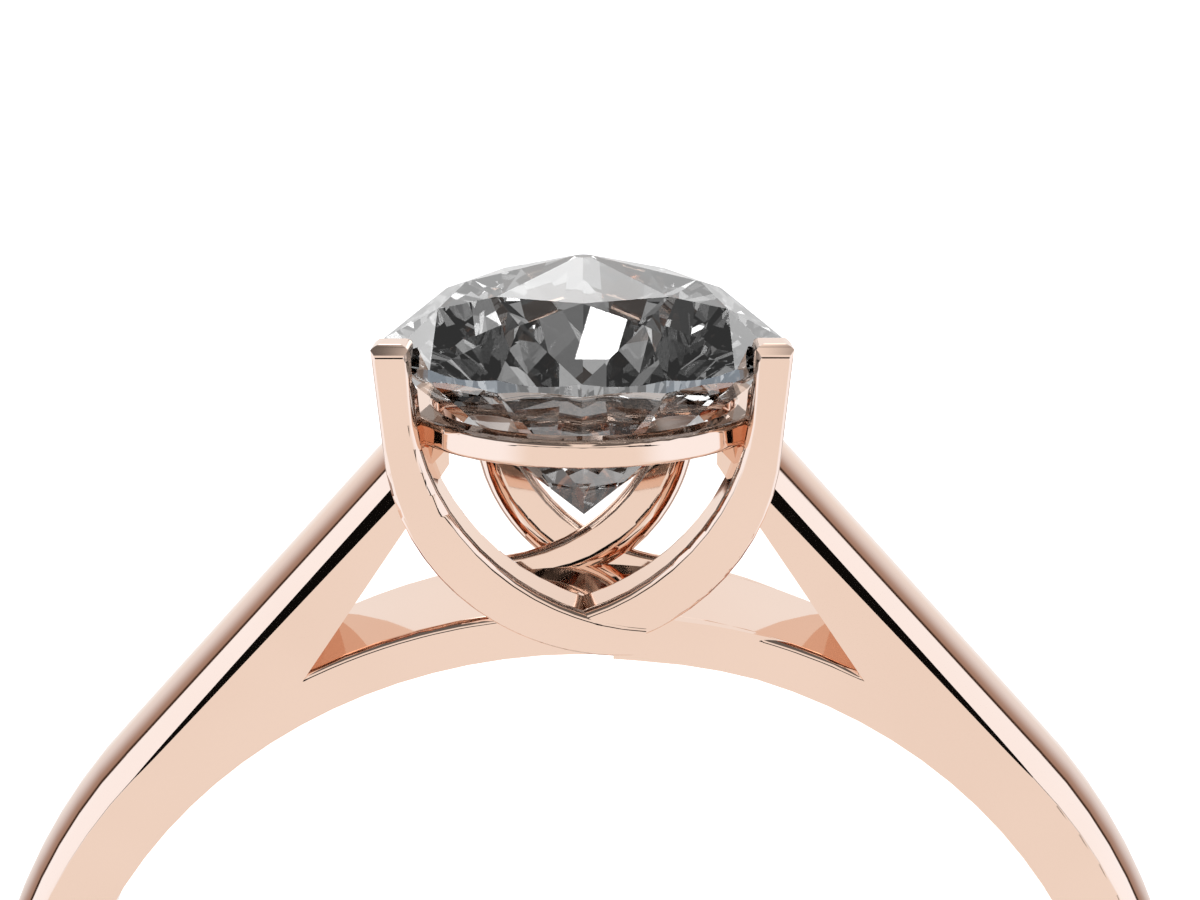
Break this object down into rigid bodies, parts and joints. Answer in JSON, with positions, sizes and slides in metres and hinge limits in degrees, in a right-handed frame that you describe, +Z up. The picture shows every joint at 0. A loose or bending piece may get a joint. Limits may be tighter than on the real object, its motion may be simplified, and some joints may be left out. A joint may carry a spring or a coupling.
{
  "type": "solitaire engagement ring",
  "caption": "Cathedral solitaire ring: a domed rose gold shank rises in straight shoulders to crossing claws that hold a round brilliant stone over a thin arch.",
  "frame": {"origin": "bottom centre of the ring as it lies on its back", "axes": "+Y from the finger hole towards the stone, +Z up, which is the way the ring's front faces, +X to the right as the ring is seen from above with the stone away from the viewer"},
  "size_m": [0.0198, 0.0242, 0.006],
  "materials": {
    "rose_gold": "mirror polished",
    "stone": "clear, polished facets"
  },
  "bodies": {
    "root": {"gold_mount": "rose_gold", "round_stone": "stone"}
  },
  "joints": []
}
